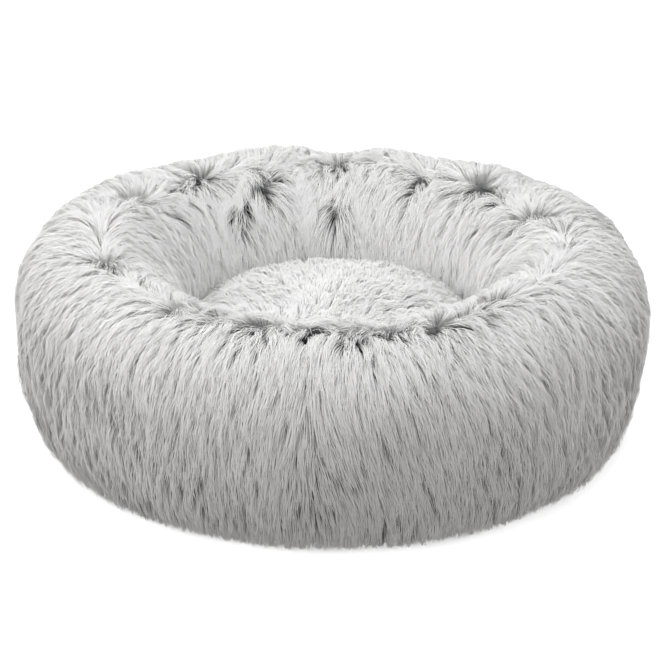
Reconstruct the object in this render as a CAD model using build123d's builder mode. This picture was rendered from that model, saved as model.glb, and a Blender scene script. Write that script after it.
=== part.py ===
"""Round long-pile pet bed: a stuffed ring with a fur cover, a base and a lift-out cushion.

The origin is at the centre of the underside, on the surface that the bed stands on.
+Z is up, -Y is the front, and the zip runs around the back of the underside.
Every size is in millimetres and every angle in degrees.
"""
import os
from math import cos, degrees, hypot, radians, sin

from build123d import *

os.makedirs("parts", exist_ok=True)

# ---------------------------------------------------------------- driving dimensions
overall_radius = 300.0        # outermost face of the pile
overall_height = 190.0        # highest pile, along the crest of the rim
belly_height = 105.0          # height of the widest ring
crest_setback = 93.0          # crest seam, in from the widest ring
well_radius = 140.0           # pile face of the well's wall
well_wall_height = 95.0       # top of the straight part of the well's wall
hem_setback = 64.0            # base edge of the outer fur, in from the widest ring
hem_width = 10.0              # fur that stands on the floor at the hem

outer_pile = 17.0             # fur and backing on the outside of the rim
crest_pile = 17.0             # fur and backing on top of the rim
inner_pile = 12.0             # fur and backing on the well's wall
roundness_belly = 0.80        # fullness of the curve from hem to belly
roundness_shoulder = 0.64     # fullness of the curve from belly to crest
roundness_lip = 0.50          # fullness of the curve from crest into the well
seam_azimuth = 86.0           # the two halves of the cover meet on this plane

liner_cloth = 1.0             # ring bag that holds the filling
base_cloth = 1.6              # non-slip cloth under the bed
base_pad_thickness = 10.0     # foam disc above the base cloth
lining_cloth = 1.0            # plain cloth on the floor of the well
seam_tape_width = 2.4         # tape sewn into the crest seam
seam_tape_height = 3.0

cushion_height = 113.0        # underside to the top of the dome
cushion_gap = 2.0             # cushion pile to the well's wall
cushion_seat_gap = 0.4        # cushion to the floor of the well
cushion_flat_setback = 30.0   # flat part of the underside, in from the cushion's edge
cushion_seam_height = 50.0    # seam between fur top and underside, above the underside
cushion_pile = 14.0           # fur and backing on top of the cushion
cushion_cloth = 1.2           # plain cloth under the cushion
cushion_bag_cloth = 0.8       # bag that holds the cushion's filling

zip_groove_width = 19.0       # recess between the base cloth and the hem
zip_start = 10.0              # azimuths of the two ends of the tapes
zip_end = 170.0
groove_end_room = 4.0         # degrees of groove beyond each end of the tapes
tape_thickness = 0.6
tape_seam_allowance = 9.0     # tape sewn on past each edge of the groove
teeth_width = 3.0             # one row
teeth_height = 2.6
teeth_gap = 0.1               # between the two closed rows
stop_length = 0.7             # degrees along the tape
stop_room = 6.5               # degrees from a tape's end to its stop

slider_azimuth = 20.0         # at its closed end
slider_length = 12.0
slider_width = 11.0
slider_plate = 1.2
slider_wall = 1.2
slider_teeth_clearance = 0.3
slider_slot = 0.5             # between a flange and the tape
slider_ceiling_gap = 0.5      # slider to the ring bag above it
slider_travel = 140.0         # degrees to the open end
wedge_width = 3.0             # part of the slider that spreads the teeth
bridge_width = 2.4
bridge_thickness = 1.2
bridge_opening = 2.7
pull_length = 27.0
pull_width = 7.0
pull_thickness = 1.5
pull_clearance = 0.5          # between the pull's window and the bridge

label_height = 26.0
label_sewn_edge = 2.0         # sewn edge, in from the widest part of the ring bag
label_edge_setback = 0.5      # free edge, in from the widest ring of pile
label_thickness = 0.5
label_level = 24.0            # underside of the label

# ---------------------------------------------------------------- derived dimensions
crest_radius = overall_radius - crest_setback
hem_inner = overall_radius - hem_setback
hem_outer = hem_inner + hem_width

core_outer = overall_radius - outer_pile
core_inner = well_radius + inner_pile
core_top = overall_height - crest_pile
core_bottom = base_cloth + base_pad_thickness
lining_top = core_bottom + lining_cloth

cushion_radius = well_radius - cushion_gap
cushion_bottom = lining_top + cushion_seat_gap
cushion_top = cushion_bottom + cushion_height
cushion_seam = cushion_bottom + cushion_seam_height

groove_outer = hem_inner
groove_inner = hem_inner - zip_groove_width
zip_radius = (groove_outer + groove_inner) / 2
groove_start = zip_start - groove_end_room
groove_end = zip_end + groove_end_room
tape_middle = core_bottom - slider_ceiling_gap - slider_plate - slider_teeth_clearance - teeth_height / 2
tape_level = tape_middle - tape_thickness / 2
tape_top = tape_middle + tape_thickness / 2
inner_teeth_edge = zip_radius - teeth_gap / 2 - teeth_width
outer_teeth_edge = zip_radius + teeth_gap / 2 + teeth_width
teeth_bottom = tape_middle - teeth_height / 2
teeth_top = tape_middle + teeth_height / 2
tape_inner_edge = groove_inner - tape_seam_allowance
tape_outer_edge = groove_outer + tape_seam_allowance
slider_arc = degrees(slider_length / zip_radius)


def sector_plane(azimuth: float) -> Plane:
    """Upright plane through the Z axis; its x runs outwards and its y runs up."""
    outwards = (cos(radians(azimuth)), sin(radians(azimuth)), 0)
    return Plane(origin=(0, 0, 0), x_dir=outwards, z_dir=(outwards[1], -outwards[0], 0))


def ease(start: float, end: float, fullness: float) -> float:
    """Handle of a curve, part of the way from its start to the corner at its end."""
    return start + (end - start) * fullness


def rim_lower(foot: float, floor: float, outer: float) -> Edge:
    """Curve from the foot of the rim up to its widest ring."""
    return Bezier(
        (foot, floor),
        (ease(foot, outer, roundness_belly), floor),
        (outer, ease(belly_height, floor, roundness_shoulder)),
        (outer, belly_height),
    )


def rim_upper(outer: float, top: float) -> Edge:
    """Curve from the widest ring over the shoulder to the crest seam."""
    return Bezier(
        (outer, belly_height),
        (outer, ease(belly_height, top, roundness_shoulder)),
        (ease(crest_radius, outer, roundness_shoulder), top),
        (crest_radius, top),
    )


def rim_lip(inner: float, top: float) -> Edge:
    """Curve from the crest seam down to the straight wall of the well."""
    return Bezier(
        (crest_radius, top),
        (ease(crest_radius, inner, roundness_lip), top),
        (inner, ease(well_wall_height, top, roundness_lip)),
        (inner, well_wall_height),
    )


def ring_bag_outline(cloth: float) -> None:
    """Closed outline of the stuffed ring, set in by the cloth of its bag."""
    inner = core_inner + cloth
    outer = core_outer - cloth
    bottom = core_bottom + cloth
    top = core_top - cloth
    rim_lower(hem_inner, bottom, outer)
    rim_upper(outer, top)
    rim_lip(inner, top)
    Polyline((inner, well_wall_height), (inner, bottom), (hem_inner, bottom))


def cushion_upper(side: float, top: float) -> Edge:
    """Domed curve from the cushion's seam to the middle of its top."""
    return Bezier(
        (side, cushion_seam),
        (side, ease(cushion_seam, top, 0.86)),
        (side * 0.66, top),
        (0, top),
    )


def cushion_lower(side: float, bottom: float) -> Edge:
    """Curve from the flat of the underside up to the cushion's seam."""
    flat = cushion_radius - cushion_flat_setback
    return Bezier(
        (flat, bottom),
        (ease(flat, side, 0.7), bottom),
        (side, ease(cushion_seam, bottom, 0.6)),
        (side, cushion_seam),
    )


def cushion_bag_outline(cloth: float) -> None:
    """Closed half outline of the stuffed cushion, set in by the cloth of its bag."""
    side = cushion_radius - cushion_cloth - cloth
    bottom = cushion_bottom + cushion_cloth + cloth
    top = cushion_top - cushion_pile - cloth
    flat = cushion_radius - cushion_flat_setback
    cushion_lower(side, bottom)
    cushion_upper(side, top)
    Polyline((0, top), (0, bottom), (flat, bottom))


# ---------------------------------------------------------------- care label in the back seam
with BuildPart() as care_label:
    label_inner = core_outer - label_sewn_edge
    label_outer = overall_radius - label_edge_setback
    with BuildSketch(sector_plane(seam_azimuth)):
        with Locations(((label_inner + label_outer) / 2, label_level + label_height / 2)):
            RectangleRounded(label_outer - label_inner, label_height, 2.0)
    extrude(amount=label_thickness / 2, both=True)
care_label.part.label = "care_label"
export_step(care_label.part, "parts/care_label.step")

# ---------------------------------------------------------------- tape in the crest seam
with BuildPart() as crest_seam_tape:
    with BuildSketch(Plane.XZ):
        with Locations((crest_radius, core_top + seam_tape_height / 2)):
            Rectangle(seam_tape_width, seam_tape_height)
    revolve(axis=Axis.Z)
crest_seam_tape.part.label = "crest_seam_tape"
export_step(crest_seam_tape.part, "parts/crest_seam_tape.step")


def zip_sector(inner: float, outer: float, bottom: float, top: float,
               start: float, end: float, mode: Mode = Mode.ADD) -> None:
    """Arc of rectangular section about the Z axis, for the part being built."""
    with BuildSketch(sector_plane(start)) as section:
        with Locations(((inner + outer) / 2, (bottom + top) / 2)):
            Rectangle(outer - inner, top - bottom)
    revolve(section.sketch, axis=Axis.Z, revolution_arc=end - start, mode=mode)


# ---------------------------------------------------------------- fur cover of the rim, in halves
for side_name, start_azimuth in (("left", seam_azimuth), ("right", seam_azimuth + 180.0)):
    with BuildPart() as outer_fur:
        with BuildSketch(sector_plane(start_azimuth)):
            with BuildLine():
                Line((hem_inner, 0), (hem_outer, 0))
                rim_lower(hem_outer, 0, overall_radius)
                rim_upper(overall_radius, overall_height)
                Line((crest_radius, overall_height), (crest_radius, core_top))
                rim_upper(core_outer, core_top)
                rim_lower(hem_inner, core_bottom, core_outer)
                Line((hem_inner, core_bottom), (hem_inner, 0))
            make_face()
        revolve(axis=Axis.Z, revolution_arc=180.0)
        add(crest_seam_tape.part, mode=Mode.SUBTRACT)
        add(care_label.part, mode=Mode.SUBTRACT)
        zip_sector(hem_inner - 1, tape_outer_edge, tape_level, tape_top, zip_start, zip_end, Mode.SUBTRACT)
    outer_fur.part.label = f"rim_outer_fur_{side_name}"
    export_step(outer_fur.part, f"parts/rim_outer_fur_{side_name}.step")

    with BuildPart() as inner_fur:
        with BuildSketch(sector_plane(start_azimuth)):
            with BuildLine():
                rim_lip(well_radius, overall_height)
                Polyline(
                    (well_radius, well_wall_height),
                    (well_radius, lining_top),
                    (core_inner, lining_top),
                    (core_inner, well_wall_height),
                )
                rim_lip(core_inner, core_top)
                Line((crest_radius, core_top), (crest_radius, overall_height))
            make_face()
        revolve(axis=Axis.Z, revolution_arc=180.0)
        add(crest_seam_tape.part, mode=Mode.SUBTRACT)
    inner_fur.part.label = f"rim_inner_fur_{side_name}"
    export_step(inner_fur.part, f"parts/rim_inner_fur_{side_name}.step")

# ---------------------------------------------------------------- ring bag and its filling
with BuildPart() as rim_liner:
    with BuildSketch(Plane.XZ):
        with BuildLine():
            ring_bag_outline(0)
        make_face()
    revolve(axis=Axis.Z)
    with BuildSketch(Plane.XZ):
        with BuildLine():
            ring_bag_outline(liner_cloth)
        make_face()
    revolve(axis=Axis.Z, mode=Mode.SUBTRACT)
rim_liner.part.label = "rim_liner"
export_step(rim_liner.part, "parts/rim_liner.step")

with BuildPart() as rim_filling:
    with BuildSketch(Plane.XZ):
        with BuildLine():
            ring_bag_outline(liner_cloth)
        make_face()
    revolve(axis=Axis.Z)
rim_filling.part.label = "rim_filling"
export_step(rim_filling.part, "parts/rim_filling.step")

# ---------------------------------------------------------------- base cloth, foam disc and well floor
with BuildPart() as base_panel:
    Cylinder(hem_inner, base_cloth, align=(Align.CENTER, Align.CENTER, Align.MIN))
    zip_sector(groove_inner, groove_outer, 0, base_cloth, groove_start, groove_end, Mode.SUBTRACT)
base_panel.part.label = "base_panel"
export_step(base_panel.part, "parts/base_panel.step")

with BuildPart() as base_pad:
    with BuildSketch(Plane.XY.offset(base_cloth)):
        Circle(hem_inner)
    extrude(amount=base_pad_thickness)
    zip_sector(groove_inner, groove_outer, base_cloth, core_bottom, groove_start, groove_end, Mode.SUBTRACT)
    zip_sector(tape_inner_edge, groove_inner, tape_level, core_bottom, groove_start, groove_end, Mode.SUBTRACT)
base_pad.part.label = "base_pad"
export_step(base_pad.part, "parts/base_pad.step")

with BuildPart() as floor_lining:
    with BuildSketch(Plane.XY.offset(core_bottom)):
        Circle(core_inner)
    extrude(amount=lining_cloth)
floor_lining.part.label = "floor_lining"
export_step(floor_lining.part, "parts/floor_lining.step")

# ---------------------------------------------------------------- zip tapes, teeth and stops
with BuildPart() as zip_tape_inner:
    zip_sector(tape_inner_edge, inner_teeth_edge, tape_level, tape_top, zip_start, zip_end)
zip_tape_inner.part.label = "zip_tape_inner"
export_step(zip_tape_inner.part, "parts/zip_tape_inner.step")

with BuildPart() as zip_tape_outer:
    zip_sector(outer_teeth_edge, tape_outer_edge, tape_level, tape_top, zip_start, zip_end)
zip_tape_outer.part.label = "zip_tape_outer"
export_step(zip_tape_outer.part, "parts/zip_tape_outer.step")

top_stop_start = zip_start + stop_room
bottom_stop_end = zip_end - stop_room
bottom_stop_start = bottom_stop_end - stop_length
teeth_start = slider_azimuth

with BuildPart() as zip_teeth_inner:
    zip_sector(inner_teeth_edge, inner_teeth_edge + teeth_width, teeth_bottom, teeth_top,
               teeth_start, bottom_stop_start)
zip_teeth_inner.part.label = "zip_teeth_inner"
export_step(zip_teeth_inner.part, "parts/zip_teeth_inner.step")

with BuildPart() as zip_teeth_outer:
    zip_sector(outer_teeth_edge - teeth_width, outer_teeth_edge, teeth_bottom, teeth_top,
               teeth_start, bottom_stop_start)
zip_teeth_outer.part.label = "zip_teeth_outer"
export_step(zip_teeth_outer.part, "parts/zip_teeth_outer.step")

with BuildPart() as zip_top_stops:
    zip_sector(inner_teeth_edge, inner_teeth_edge + teeth_width, teeth_bottom, teeth_top,
               top_stop_start, top_stop_start + stop_length)
    zip_sector(outer_teeth_edge - teeth_width, outer_teeth_edge, teeth_bottom, teeth_top,
               top_stop_start, top_stop_start + stop_length)
zip_top_stops.part.label = "zip_top_stops"
export_step(zip_top_stops.part, "parts/zip_top_stops.step")

with BuildPart() as zip_bottom_stop:
    zip_sector(inner_teeth_edge, outer_teeth_edge, teeth_bottom, teeth_top,
               bottom_stop_start, bottom_stop_end)
zip_bottom_stop.part.label = "zip_bottom_stop"
export_step(zip_bottom_stop.part, "parts/zip_bottom_stop.step")

# ---------------------------------------------------------------- zip slider
channel_bottom = teeth_bottom - slider_teeth_clearance
channel_top = teeth_top + slider_teeth_clearance
slider_inner = zip_radius - slider_width / 2
slider_outer = zip_radius + slider_width / 2
slider_start = slider_azimuth - slider_arc / 2
slider_end = slider_azimuth + slider_arc / 2
bridge_leg_arc = slider_arc * bridge_thickness / slider_length
bridge_top = channel_bottom - slider_plate
bridge_bottom = bridge_top - bridge_opening - bridge_thickness

with BuildPart() as zip_slider:
    zip_sector(slider_inner, slider_outer, bridge_top, channel_bottom, slider_start, slider_end)
    zip_sector(slider_inner, slider_outer, channel_top, channel_top + slider_plate,
               slider_start, slider_end)
    for flange_edge in (slider_inner, slider_outer - slider_wall):
        zip_sector(flange_edge, flange_edge + slider_wall, channel_bottom, tape_level - slider_slot,
                   slider_start, slider_end)
        zip_sector(flange_edge, flange_edge + slider_wall, tape_top + slider_slot, channel_top,
                   slider_start, slider_end)
    zip_sector(zip_radius - wedge_width / 2, zip_radius + wedge_width / 2, channel_bottom, channel_top,
               slider_start, slider_azimuth - slider_arc / 6)
    for leg_start in (slider_start, slider_end - bridge_leg_arc):
        zip_sector(zip_radius - bridge_width / 2, zip_radius + bridge_width / 2, bridge_bottom, bridge_top,
                   leg_start, leg_start + bridge_leg_arc)
    zip_sector(zip_radius - bridge_width / 2, zip_radius + bridge_width / 2, bridge_bottom,
               bridge_bottom + bridge_thickness, slider_start, slider_end)
zip_slider.part.label = "zip_slider"
export_step(zip_slider.part, "parts/zip_slider.step")

# ---------------------------------------------------------------- zip pull, lying along the teeth
pivot_level = bridge_top - bridge_opening / 2
pivot_x = zip_radius * cos(radians(slider_azimuth))
pivot_y = zip_radius * sin(radians(slider_azimuth))
along_tape = (-sin(radians(slider_azimuth)), cos(radians(slider_azimuth)), 0)
pull_plane = Plane(origin=(pivot_x, pivot_y, pivot_level - pull_thickness / 2),
                   x_dir=along_tape, z_dir=(0, 0, 1))
bar_half = pull_thickness / 2
bridge_sweep = hypot(slider_length / 2, bridge_opening / 2 + bridge_thickness)
window_end = bridge_sweep + pull_clearance
window_length = window_end - bar_half
window_width = bridge_width + 2 * pull_clearance

with BuildPart() as zip_pull:
    with BuildSketch(pull_plane):
        with Locations((pull_length / 2 - bar_half, 0)):
            RectangleRounded(pull_length, pull_width, pull_thickness)
        with Locations(((bar_half + window_end) / 2, 0)):
            Rectangle(window_length, window_width, mode=Mode.SUBTRACT)
        with Locations((pull_length - pull_width, 0)):
            SlotOverall(pull_width, pull_width / 2, mode=Mode.SUBTRACT)
    extrude(amount=pull_thickness)
zip_pull.part.label = "zip_pull"
export_step(zip_pull.part, "parts/zip_pull.step")

# ---------------------------------------------------------------- lift-out cushion
with BuildPart() as cushion_filling:
    with BuildSketch(Plane.XZ):
        with BuildLine():
            cushion_bag_outline(cushion_bag_cloth)
        make_face()
    revolve(axis=Axis.Z)
cushion_filling.part.label = "cushion_filling"
export_step(cushion_filling.part, "parts/cushion_filling.step")

with BuildPart() as cushion_liner:
    with BuildSketch(Plane.XZ):
        with BuildLine():
            cushion_bag_outline(0)
        make_face()
    revolve(axis=Axis.Z)
    add(cushion_filling.part, mode=Mode.SUBTRACT)
cushion_liner.part.label = "cushion_liner"
export_step(cushion_liner.part, "parts/cushion_liner.step")

cushion_bag_side = cushion_radius - cushion_cloth
cushion_bag_top = cushion_top - cushion_pile
cushion_bag_bottom = cushion_bottom + cushion_cloth
cushion_flat = cushion_radius - cushion_flat_setback

with BuildPart() as cushion_fur_top:
    with BuildSketch(Plane.XZ):
        with BuildLine():
            cushion_upper(cushion_radius, cushion_top)
            Line((0, cushion_top), (0, cushion_bag_top))
            cushion_upper(cushion_bag_side, cushion_bag_top)
            Line((cushion_bag_side, cushion_seam), (cushion_radius, cushion_seam))
        make_face()
    revolve(axis=Axis.Z)
cushion_fur_top.part.label = "cushion_fur_top"
export_step(cushion_fur_top.part, "parts/cushion_fur_top.step")

with BuildPart() as cushion_underside:
    with BuildSketch(Plane.XZ):
        with BuildLine():
            cushion_lower(cushion_radius, cushion_bottom)
            Line((cushion_radius, cushion_seam), (cushion_bag_side, cushion_seam))
            cushion_lower(cushion_bag_side, cushion_bag_bottom)
            Polyline((cushion_flat, cushion_bag_bottom), (0, cushion_bag_bottom),
                     (0, cushion_bottom), (cushion_flat, cushion_bottom))
        make_face()
    revolve(axis=Axis.Z)
cushion_underside.part.label = "cushion_underside"
export_step(cushion_underside.part, "parts/cushion_underside.step")

print(f"zip radius {zip_radius:.3f}, slider pivot ({pivot_x:.4f}, {pivot_y:.4f}, {pivot_level:.4f})")
print(f"slider travel {slider_travel:.1f} of {bottom_stop_start - slider_end:.1f} degrees to the stop")
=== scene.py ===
"""Round long-pile pet bed: fur cover, lift-out cushion, zipped base and stuffing, in metres.

The rim's cover is a stuffed shell that is swelled as cloth, and the pile grows on it: thousands
of narrow blades that follow a combed direction and gather into locks.
"""

import logging
import math
from collections.abc import Callable
from dataclasses import dataclass, field
from enum import Enum

import bmesh
import bpy
import numpy as np
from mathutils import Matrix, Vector, noise


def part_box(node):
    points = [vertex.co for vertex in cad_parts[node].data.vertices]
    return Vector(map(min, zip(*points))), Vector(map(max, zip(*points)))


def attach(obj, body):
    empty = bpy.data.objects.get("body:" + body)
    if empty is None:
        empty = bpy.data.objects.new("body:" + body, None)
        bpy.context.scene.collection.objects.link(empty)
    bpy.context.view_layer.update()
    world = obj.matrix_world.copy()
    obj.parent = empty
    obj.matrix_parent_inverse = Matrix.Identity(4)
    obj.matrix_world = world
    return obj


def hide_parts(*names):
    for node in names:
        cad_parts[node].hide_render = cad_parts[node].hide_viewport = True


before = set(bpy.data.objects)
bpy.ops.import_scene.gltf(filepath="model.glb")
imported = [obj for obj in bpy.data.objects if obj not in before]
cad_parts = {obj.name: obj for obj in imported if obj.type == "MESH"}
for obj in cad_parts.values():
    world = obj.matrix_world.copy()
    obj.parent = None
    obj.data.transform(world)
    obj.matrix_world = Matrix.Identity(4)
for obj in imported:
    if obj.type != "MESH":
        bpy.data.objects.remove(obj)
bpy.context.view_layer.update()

MM = 0.001
LOG = logging.getLogger("pet_bed")
SEED = 11
BACK_SEAM = math.radians(86.0)
BLADE_ROWS = 4
PRESSURE = 4.0

Socket = bpy.types.NodeSocket
Tree = bpy.types.NodeTree
Material = bpy.types.Material
Mesh = bpy.types.Mesh
Piece = bpy.types.Object


# ------------------------------------------------------------------------------ node graphs
def operator(operation: str, swapped: bool = False) -> Callable:
    """Makes an operator method that adds a Math node."""

    def method(self: "Wire", other: "Wire | float") -> "Wire":
        return self.graph.maths(operation, *((other, self) if swapped else (self, other)))

    return method


class Wire:
    """A number socket; an expression on it adds Math nodes."""

    def __init__(self, graph: "Graph", socket: Socket) -> None:
        self.graph = graph
        self.socket = socket

    __add__, __radd__ = operator("ADD"), operator("ADD", swapped=True)
    __sub__, __rsub__ = operator("SUBTRACT"), operator("SUBTRACT", swapped=True)
    __mul__, __rmul__ = operator("MULTIPLY"), operator("MULTIPLY", swapped=True)
    __truediv__, __rtruediv__ = operator("DIVIDE"), operator("DIVIDE", swapped=True)
    __pow__ = operator("POWER")


class Arrow:
    """A vector socket; an expression on it adds Vector Math nodes."""

    def __init__(self, graph: "Graph", socket: Socket) -> None:
        self.graph = graph
        self.socket = socket

    def __add__(self, other: "Arrow") -> "Arrow":
        return self.graph.arrow("ADD", self, other)

    def __mul__(self, length: Wire | float) -> "Arrow":
        return self.graph.arrow("SCALE", self, scale=length)

    def cross(self, other: "Arrow") -> "Arrow":
        """The cross product of the two vectors."""
        return self.graph.arrow("CROSS_PRODUCT", self, other)

    def unit(self) -> "Arrow":
        """The vector at length one."""
        return self.graph.arrow("NORMALIZE", self)


class Graph:
    """Adds nodes to a shader or geometry tree and links them."""

    def __init__(self, tree: Tree) -> None:
        self.tree = tree

    def node(self, kind: str, settings: dict | None = None, inputs: dict | None = None) -> bpy.types.Node:
        """Adds one node.

        Args:
            kind: The node's type name.
            settings: Its properties, set before its sockets are filled.
            inputs: Values or links by the socket's name or number.

        Returns:
            The new node.
        """
        made = self.tree.nodes.new(kind)
        for name, value in (settings or {}).items():
            setattr(made, name, value)
        for key, value in (inputs or {}).items():
            self.fill(made.inputs[key], value)
        return made

    def fill(self, socket: Socket, value: object) -> None:
        """Links a socket to a wire, arrow or socket, or sets its value."""
        if isinstance(value, (Wire, Arrow)):
            value = value.socket
        if isinstance(value, Socket):
            self.tree.links.new(value, socket)
        else:
            socket.default_value = value

    def maths(self, operation: str, *values: Wire | float, clamp: bool = False) -> Wire:
        """Adds a Math node and returns its result."""
        settings = {"operation": operation, "use_clamp": clamp}
        return Wire(self, self.node("ShaderNodeMath", settings, dict(enumerate(values))).outputs[0])

    def arrow(self, operation: str, *values: Arrow | tuple, scale: Wire | float | None = None) -> Arrow:
        """Adds a Vector Math node and returns its vector."""
        inputs = dict(enumerate(values))
        if scale is not None:
            inputs["Scale"] = scale
        return Arrow(self, self.node("ShaderNodeVectorMath", {"operation": operation}, inputs).outputs[0])

    def split(self, socket: Socket) -> list[Wire]:
        """The three numbers of a vector."""
        return [Wire(self, part) for part in self.node("ShaderNodeSeparateXYZ", inputs={0: socket}).outputs]

    def join(self, *numbers: Wire | Socket | float) -> Arrow:
        """A vector from up to three numbers."""
        return Arrow(self, self.node("ShaderNodeCombineXYZ", inputs=dict(enumerate(numbers))).outputs[0])

    def grain(self, where: Wire | Socket, detail: float, scale: float | None = None) -> Wire:
        """Noise along a number, or in space where a scale is given."""
        inputs = {"W": where} if scale is None else {"Vector": where, "Scale": scale}
        settings = {"noise_dimensions": "1D" if scale is None else "3D"}
        made = self.node("ShaderNodeTexNoise", settings, {**inputs, "Detail": detail})
        return Wire(self, made.outputs[0])

    def blend(self, share: Wire | float, start: object, end: object, kind: str = "FLOAT") -> Socket:
        """Adds a Mix node of the kind FLOAT or VECTOR and returns its result."""
        made = self.node("ShaderNodeMix", {"data_type": kind})
        place = {"FLOAT": 2, "VECTOR": 4}[kind]
        for number, value in ((0, share), (place, start), (place + 1, end)):
            self.fill(made.inputs[number], value)
        return made.outputs[{"FLOAT": 0, "VECTOR": 1}[kind]]

    def ramp(self, share: Wire, stops: list[tuple[float, tuple]]) -> Socket:
        """Adds a Color Ramp with positions and colours in order, and returns its colour."""
        made = self.node("ShaderNodeValToRGB", inputs={"Fac": share})
        elements = made.color_ramp.elements
        while len(elements) < len(stops):
            elements.new(0.5)
        for element, (place, colour) in zip(elements, stops):
            element.position = place
            element.color = colour
        return made.outputs["Color"]


def grey(level: float, warm: float = 0.0) -> tuple[float, float, float, float]:
    """Scene-linear grey, a little warm above zero and cool below it."""
    return (level * (1 + warm), level, level * (1 - warm), 1.0)


# ------------------------------------------------------------------------------ finishes
@dataclass(frozen=True)
class Finish:
    """A surface finish; every finish makes one material.

    Attributes:
        title: Name of the material.
        roughness: Mean roughness.
    """

    title: str
    roughness: float = 0.8

    def start(self) -> tuple[Material, Graph, bpy.types.Node]:
        """Makes an empty material with its graph and surface shader."""
        material = bpy.data.materials.new(self.title)
        material.use_nodes = True
        shader = material.node_tree.nodes["Principled BSDF"]
        shader.inputs["Roughness"].default_value = self.roughness
        return material, Graph(material.node_tree), shader


@dataclass(frozen=True)
class FurFinish(Finish):
    """Pile with dark roots and pale tips, coloured along each blade.

    Attributes:
        root: Grey at the backing.
        body: Grey of the middle of the blade.
        tip: Grey of the last stretch.
        root_share: Part of the blade that stays dark.
        tip_share: Where the blade has turned pale.
        wander: How far the colours shift along from blade to blade.
        unevenness: How much blades differ in brightness.
    """

    root: float = 0.035
    body: float = 0.40
    tip: float = 0.90
    root_share: float = 0.16
    tip_share: float = 0.52
    wander: float = 0.26
    unevenness: float = 0.12

    def material(self) -> Material:
        """Makes the material."""
        material, graph, shader = self.start()
        column, along, _ = graph.split(graph.node("ShaderNodeUVMap", {"uv_map": "OFBake"}).outputs[0])
        shift = (graph.grain(column * 61.0, 1.0) - 0.5) * self.wander
        middle = (self.root_share + self.tip_share) / 2
        stops = [
            (0.0, grey(self.root, -0.10)),
            (self.root_share, grey(self.root * 1.5, -0.09)),
            (middle, grey(self.body, 0.012)),
            (self.tip_share, grey(self.tip * 0.93, 0.004)),
            (1.0, grey(self.tip, 0.004)),
        ]
        colour = graph.ramp(along + shift, stops)
        shade = 1.0 + (graph.grain(column * 97.0 + 5.0, 0.0) - 0.5) * self.unevenness
        graph.fill(shader.inputs["Base Color"], graph.arrow("SCALE", colour, scale=shade))
        shader.inputs["Specular IOR Level"].default_value = 0.25
        shader.inputs["Sheen Weight"].default_value = 0.25
        shader.inputs["Sheen Roughness"].default_value = 0.5
        return material


class Weave(Enum):
    """How a cloth is made."""

    PLAIN = "plain"
    SATIN = "satin"
    FELT = "felt"
    KNIT = "knit"


@dataclass(frozen=True)
class ClothFinish(Finish):
    """Woven, felted or knitted cloth with thread relief and faint soiling.

    Attributes:
        colour: Scene-linear colour of the thread.
        weave: How the cloth is made.
        pitch: Thread spacing in metres.
        relief: Height of the threads in metres.
    """

    colour: tuple[float, float, float] = (0.5, 0.5, 0.5)
    weave: Weave = Weave.PLAIN
    pitch: float = 0.9 * MM
    relief: float = 0.12 * MM

    def material(self) -> Material:
        """Makes the material."""
        material, graph, shader = self.start()
        place = graph.node("ShaderNodeTexCoord").outputs["Object"]
        count = math.tau / self.pitch
        across, ahead, height = graph.split(place)
        up = ahead + height * 0.91
        warp = graph.maths("SINE", across * count) * 0.5 + 0.5
        weft = graph.maths("SINE", up * count) * 0.5 + 0.5
        fuzz = graph.grain(place, 3.0, scale=900.0)
        if self.weave is Weave.PLAIN:
            thread = warp * weft + fuzz * 0.35
        elif self.weave is Weave.SATIN:
            thread = warp * 0.25 + weft + fuzz * 0.12
        elif self.weave is Weave.KNIT:
            thread = graph.maths("SINE", (across + up) * count) * 0.25 + warp * 0.5 + fuzz * 0.4
        else:
            thread = fuzz * 1.4
        shade = 0.80 + thread * 0.16 + graph.grain(place, 4.0, scale=9.0) * 0.16
        graph.fill(shader.inputs["Base Color"], graph.arrow("SCALE", self.colour, scale=shade))
        graph.fill(shader.inputs["Roughness"], self.roughness + (fuzz - 0.5) * 0.12)
        relief = {"Height": thread, "Distance": self.relief, "Strength": 0.9}
        graph.fill(shader.inputs["Normal"], graph.node("ShaderNodeBump", inputs=relief).outputs[0])
        shader.inputs["Sheen Weight"].default_value = 0.15
        return material


@dataclass(frozen=True)
class HardFinish(Finish):
    """Enamelled metal or moulded plastic, with fine orange peel and rubbed edges.

    Attributes:
        colour: Scene-linear colour.
        metallic: One for bare metal.
        coat: Weight of a clear coat.
        wear: Brightness that rubbing adds.
    """

    colour: tuple[float, float, float] = (0.4, 0.4, 0.4)
    metallic: float = 0.0
    coat: float = 0.0
    wear: float = 0.2

    def material(self) -> Material:
        """Makes the material."""
        material, graph, shader = self.start()
        place = graph.node("ShaderNodeTexCoord").outputs["Object"]
        peel = graph.grain(place, 2.0, scale=1400.0)
        worn = graph.maths("MULTIPLY", graph.grain(place, 5.0, scale=260.0) - 0.52, 5.0, clamp=True)
        shade = 1.0 + worn * self.wear
        graph.fill(shader.inputs["Base Color"], graph.arrow("SCALE", self.colour, scale=shade))
        graph.fill(shader.inputs["Roughness"], self.roughness + worn * 0.12)
        relief = {"Height": peel, "Distance": 0.02 * MM, "Strength": 0.6}
        graph.fill(shader.inputs["Normal"], graph.node("ShaderNodeBump", inputs=relief).outputs[0])
        shader.inputs["Metallic"].default_value = self.metallic
        shader.inputs["Coat Weight"].default_value = self.coat
        return material


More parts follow.
